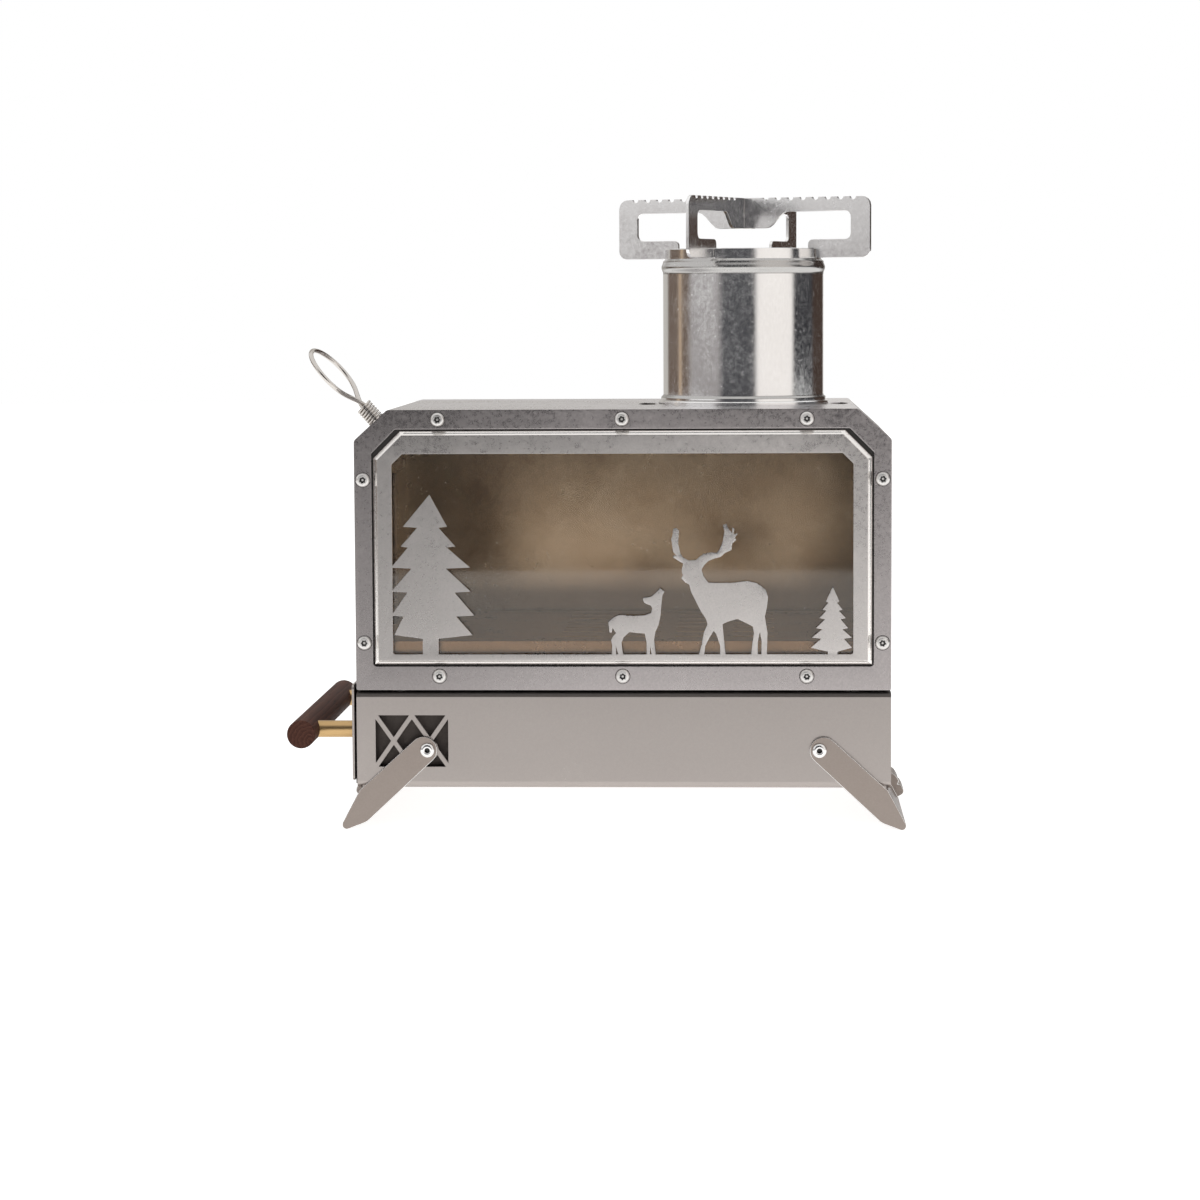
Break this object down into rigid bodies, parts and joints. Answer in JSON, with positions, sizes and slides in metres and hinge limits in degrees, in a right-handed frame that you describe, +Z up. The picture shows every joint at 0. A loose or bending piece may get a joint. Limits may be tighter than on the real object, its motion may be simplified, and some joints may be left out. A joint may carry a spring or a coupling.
{
  "type": "tent wood stove",
  "caption": "Small folding-leg steel wood stove with a glazed front, slide-out ash drawer, plug-on flue pipe and cross-plate pot stand.",
  "frame": {"origin": "on the ground, under the middle of the whole stove's box", "axes": "+X to the stove's right seen from the glass side, +Y from the glass to the back panel, +Z up"},
  "size_m": [0.2626, 0.156, 0.2664],
  "materials": {
    "tumbled_steel": "tumbled, fine grey mottling",
    "bezel_steel": "tumbled face with bright rounded edges",
    "shell_steel": "mill finish sheet",
    "satin_steel": "satin, warm grey",
    "mirror_steel": "mirror polish",
    "stand_steel": "tumbled",
    "bright_fasteners": "bright",
    "plain_washers": "plain zinc",
    "spring_wire": "bright drawn wire",
    "fired_steel": "heat-tinted, straw to brown",
    "amber_glass": "amber heat-proof glass",
    "fibre_gasket": "woven glass-fibre tape",
    "brass": "turned, polished",
    "walnut": "oiled dark walnut"
  },
  "bodies": {
    "stove_body": {"firebox_shell": "shell_steel", "front_frame": "tumbled_steel", "back_panel": "tumbled_steel", "window_bezel": "bezel_steel", "glass_gasket": "fibre_gasket", "glass_pane": "amber_glass", "glass_clips": "satin_steel", "clip_rivets": "bright_fasteners", "front_screws": "bright_fasteners", "front_nuts": "bright_fasteners", "back_screws": "bright_fasteners", "back_nuts": "bright_fasteners", "fire_grate": "fired_steel", "flue_doubler": "shell_steel", "flue_collar": "mirror_steel", "base_housing": "satin_steel", "base_spacers": "plain_washers", "base_screws": "bright_fasteners", "base_nuts": "bright_fasteners", "drawer_rails": "satin_steel", "door_jambs": "shell_steel", "door_catch": "shell_steel", "fixed_hinge_leaf": "satin_steel", "hinge_screws": "bright_fasteners", "hinge_pin": "bright_fasteners", "leg_washers": "plain_washers", "leg_rivets": "bright_fasteners"},
    "fuel_door": {"fuel_door": "shell_steel", "door_hinge_leaf": "satin_steel", "handle_washer": "plain_washers", "handle_spring": "spring_wire", "ring_handle": "spring_wire", "handle_nut": "bright_fasteners"},
    "ash_drawer": {"ash_drawer": "satin_steel", "drawer_front": "satin_steel", "handle_posts": "brass", "handle_dowel": "walnut", "post_screws": "bright_fasteners"},
    "left_leg": {"left_leg": "satin_steel"},
    "right_leg": {"right_leg": "satin_steel"},
    "flue_pipe": {"flue_pipe": "mirror_steel"},
    "pot_stand_lower": {"pot_stand_lower": "stand_steel"},
    "pot_stand_upper": {"pot_stand_upper": "stand_steel"}
  },
  "joints": [
    {"name": "fuel_door_hinge", "type": "hinge", "parent": "stove_body", "child": "fuel_door", "pos_m": [-0.10362, 0.074, 0.12], "axis": [0, 0, -1], "range_deg": [0, 110]},
    {"name": "ash_drawer_slide", "type": "slide", "parent": "stove_body", "child": "ash_drawer", "axis": [-1, 0, 0], "range_m": [0, 0.16]},
    {"name": "left_leg_fold", "type": "hinge", "parent": "stove_body", "child": "left_leg", "pos_m": [-0.07182, 0, 0.0337], "axis": [0, -1, 0], "range_deg": [0, 118]},
    {"name": "right_leg_fold", "type": "hinge", "parent": "stove_body", "child": "right_leg", "pos_m": [0.09318, 0, 0.0337], "axis": [0, 1, 0], "range_deg": [0, 118]},
    {"name": "flue_pipe_lift", "type": "slide", "parent": "stove_body", "child": "flue_pipe", "axis": [0, 0, 1], "range_m": [0, 0.05]},
    {"name": "pot_stand_lift", "type": "slide", "parent": "flue_pipe", "child": "pot_stand_lower", "axis": [0, 0, 1], "range_m": [0, 0.04]},
    {"name": "upper_plate_lift", "type": "slide", "parent": "pot_stand_lower", "child": "pot_stand_upper", "axis": [0, 0, 1], "range_m": [0, 0.03]}
  ]
}
